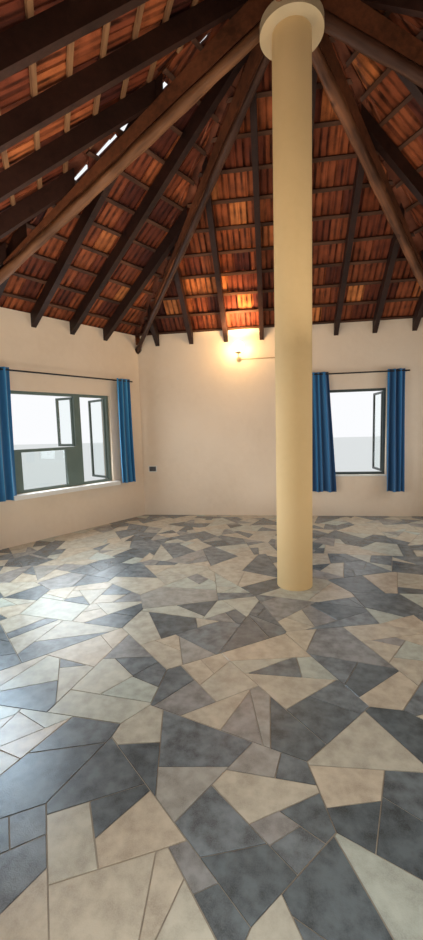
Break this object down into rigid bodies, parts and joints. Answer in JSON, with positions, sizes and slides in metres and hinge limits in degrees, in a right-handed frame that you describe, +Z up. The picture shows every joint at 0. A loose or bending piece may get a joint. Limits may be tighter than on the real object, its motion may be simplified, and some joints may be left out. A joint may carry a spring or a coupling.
{
  "type": "rondavel hut",
  "caption": "Six-sided one-room hut with plastered walls, windows, a doorway, a central round column, log poles and a tiled pyramid roof",
  "frame": {"origin": "the column's axis at ground level, on the underside of the plinth", "axes": "+Z up, +Y towards the back wall, which faces the door, +X to the right when looking at the back wall"},
  "size_m": [9.9534, 8.6681, 6.1159],
  "materials": {
    "wall_plaster": "painted lime plaster, slightly uneven",
    "column_plaster": "smooth painted plaster",
    "capital_plaster": "smooth painted plaster",
    "plinth_stone": "rough stone and mortar",
    "paving_stone": "polished random slabs",
    "pole_log": "peeled log, oiled",
    "dark_timber": "sawn, dark stained",
    "hip_timber": "sawn, stained brown",
    "batten_wood": "sawn laths",
    "roof_tile": "fired clay, matt",
    "hip_tile": "fired clay, matt",
    "cap_mortar": "cement mortar, tinted",
    "window_paint": "dark enamel",
    "window_glass": "clear",
    "sill_render": "white render",
    "rod_paint": "black enamel",
    "curtain_cloth": "woven cotton, pleated",
    "door_wood": "varnished planks",
    "fitting_plastic": "moulded"
  },
  "bodies": {
    "root": {"plinth": "plinth_stone", "floor_paving": "paving_stone", "wall_back": "wall_plaster", "wall_back_left": "wall_plaster", "wall_back_right": "wall_plaster", "wall_front_left": "wall_plaster", "wall_front_right": "wall_plaster", "door_pier_left": "wall_plaster", "door_pier_right": "wall_plaster", "wall_over_door": "wall_plaster", "column_shaft": "column_plaster", "column_capital": "capital_plaster", "apex_post": "dark_timber", "hip_pole_back_left": "pole_log", "hip_pole_back_right": "pole_log", "hip_pole_left": "pole_log", "hip_pole_right": "pole_log", "hip_pole_front_left": "pole_log", "hip_pole_front_right": "pole_log", "hip_rafters": "hip_timber", "rafters_back": "dark_timber", "rafters_back_left": "dark_timber", "rafters_back_right": "dark_timber", "rafters_front_left": "dark_timber", "rafters_front_right": "dark_timber", "rafters_front": "dark_timber", "battens": "batten_wood", "tiles_back": "roof_tile", "tiles_back_left": "roof_tile", "tiles_back_right": "roof_tile", "tiles_front_left": "roof_tile", "tiles_front_right": "roof_tile", "tiles_front": "roof_tile", "hip_tiles": "hip_tile", "apex_cap": "cap_mortar", "window_back": "window_paint", "window_back_left": "window_paint", "window_back_right": "window_paint", "window_front_left": "window_paint", "window_front_right": "window_paint", "window_panes": "window_glass", "window_sills": "sill_render", "curtain_rods": "rod_paint", "curtains": "curtain_cloth", "door_frame": "door_wood", "door_leaf": "door_wood", "wall_fittings": "fitting_plastic"}
  },
  "joints": []
}
